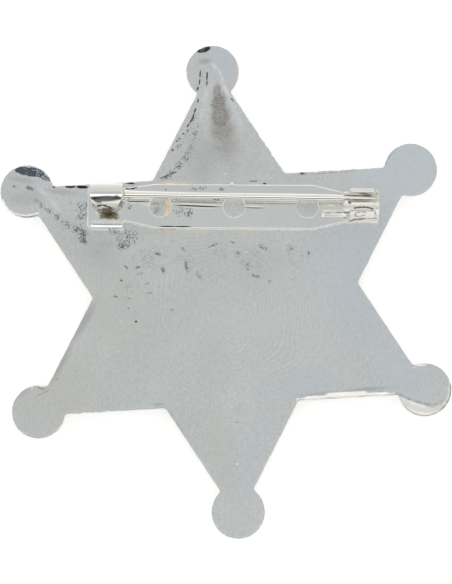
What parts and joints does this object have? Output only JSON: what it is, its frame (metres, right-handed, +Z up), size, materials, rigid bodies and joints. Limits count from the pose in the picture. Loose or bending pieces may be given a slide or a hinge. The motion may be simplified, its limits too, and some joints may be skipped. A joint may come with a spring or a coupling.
{
  "type": "sheriff star badge",
  "caption": "Six-pointed sheriff star badge with disc tips, lying face down, with a hinged bar pin and a turning safety catch across its back.",
  "frame": {"origin": "middle of the star, on the plane of the front's raised panel, which is what the badge lies on", "axes": "+Z up out of the back, where the pin is; +Y to the top arm of the star; +X to the right as seen from behind"},
  "size_m": [0.0528, 0.06, 0.0063],
  "materials": {
    "star_plate": "bright plating, buffed and a little tarnished",
    "bar_sheet": "bright nickel plating",
    "rivet_steel": "plain steel",
    "needle_wire": "bright drawn wire",
    "catch_metal": "bright nickel plating"
  },
  "bodies": {
    "badge": {"star": "star_plate", "brooch_bar": "bar_sheet", "hinge_rivet": "rivet_steel"},
    "pin": {"needle": "needle_wire"},
    "catch": {"catch_barrel": "catch_metal"}
  },
  "joints": [
    {"name": "pin_hinge", "type": "hinge", "parent": "badge", "child": "pin", "pos_m": [-0.01204, 0.01199, 0.00392], "axis": [-0.0637, -0.998, 0], "range_deg": [0, 45]},
    {"name": "catch_turn", "type": "hinge", "parent": "badge", "child": "catch", "pos_m": [0.01711, 0.00924, 0.00427], "axis": [-0.998, 0.0637, 0], "range_deg": [0, 90]}
  ]
}
